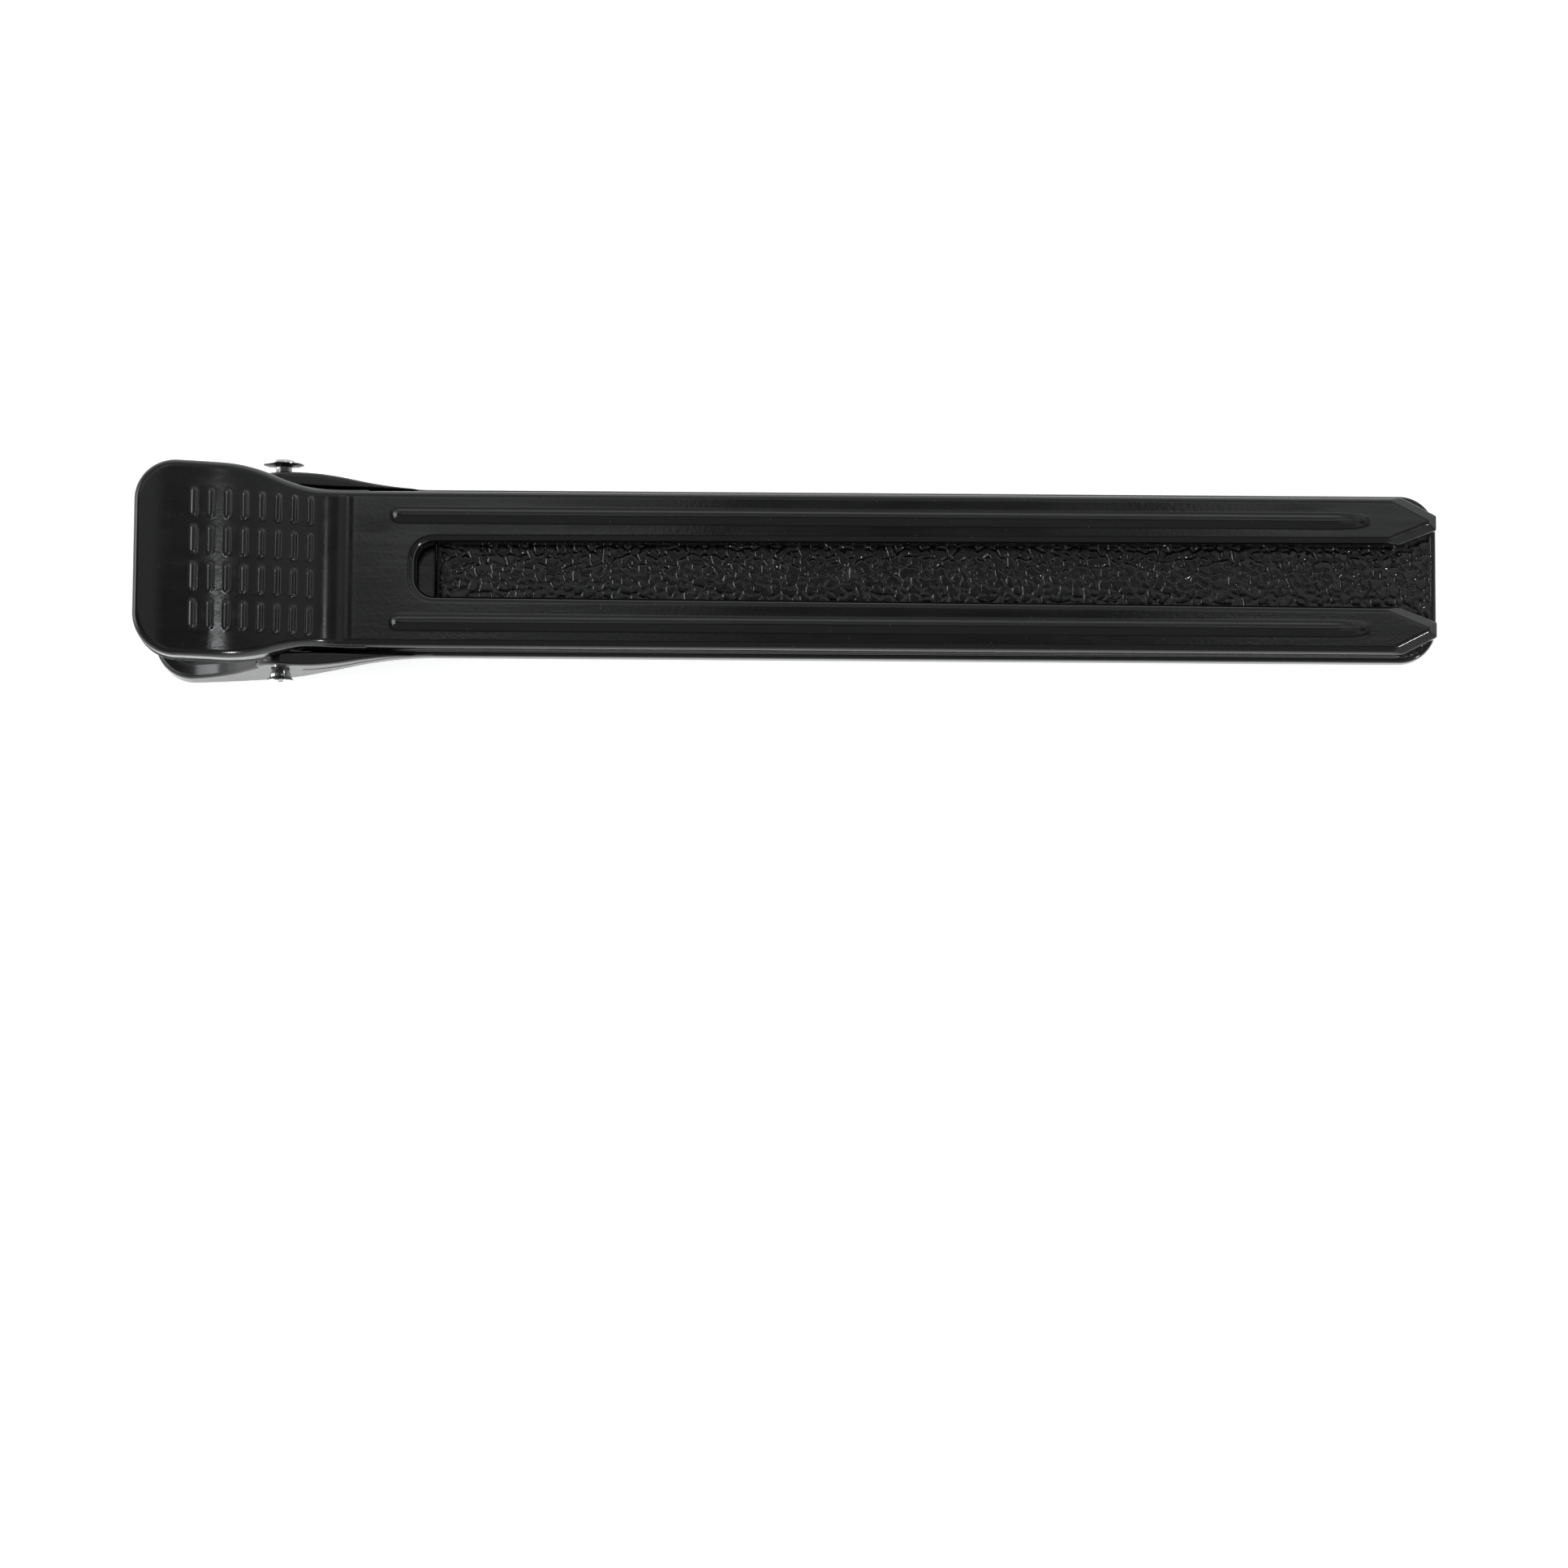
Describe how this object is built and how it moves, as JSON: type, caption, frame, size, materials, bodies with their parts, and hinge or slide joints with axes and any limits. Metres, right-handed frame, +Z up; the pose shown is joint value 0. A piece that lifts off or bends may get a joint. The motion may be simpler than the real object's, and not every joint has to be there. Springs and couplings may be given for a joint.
{
  "type": "sectioning clip",
  "caption": "Long hair sectioning clip: a slotted fork jaw springs shut on a flat grip plate, opened by two thumb levers on a riveted pivot.",
  "frame": {"origin": "on the table the clip lies on, under the middle of its box", "axes": "+X from the thumb levers to the jaw tips, +Y along the rivet towards its domed head, +Z up; the clip lies on the end of the plate arm's lever and on its jaw tip, so the jaws slope down by 3.6 degrees"},
  "size_m": [0.1104, 0.0194, 0.0179],
  "materials": {
    "fork_plastic": "black, moulded, semi-gloss",
    "plate_plastic": "black, moulded, grained grip face",
    "rivet_steel": "nickel plated, bright",
    "spring_steel": "drawn spring wire"
  },
  "bodies": {
    "plate_arm": {"plate_arm": "plate_plastic", "pivot_rivet": "rivet_steel", "torsion_spring": "spring_steel"},
    "fork_arm": {"fork_arm": "fork_plastic"}
  },
  "joints": [
    {"name": "jaw_hinge", "type": "hinge", "parent": "plate_arm", "child": "fork_arm", "pos_m": [-0.04303, -0.0002, 0.00815], "axis": [0, -1, 0], "range_deg": [0, 50], "stiffness_Nm_per_rad": 0.065, "springref_deg": -34.95, "deforming": ["torsion_spring"]}
  ]
}
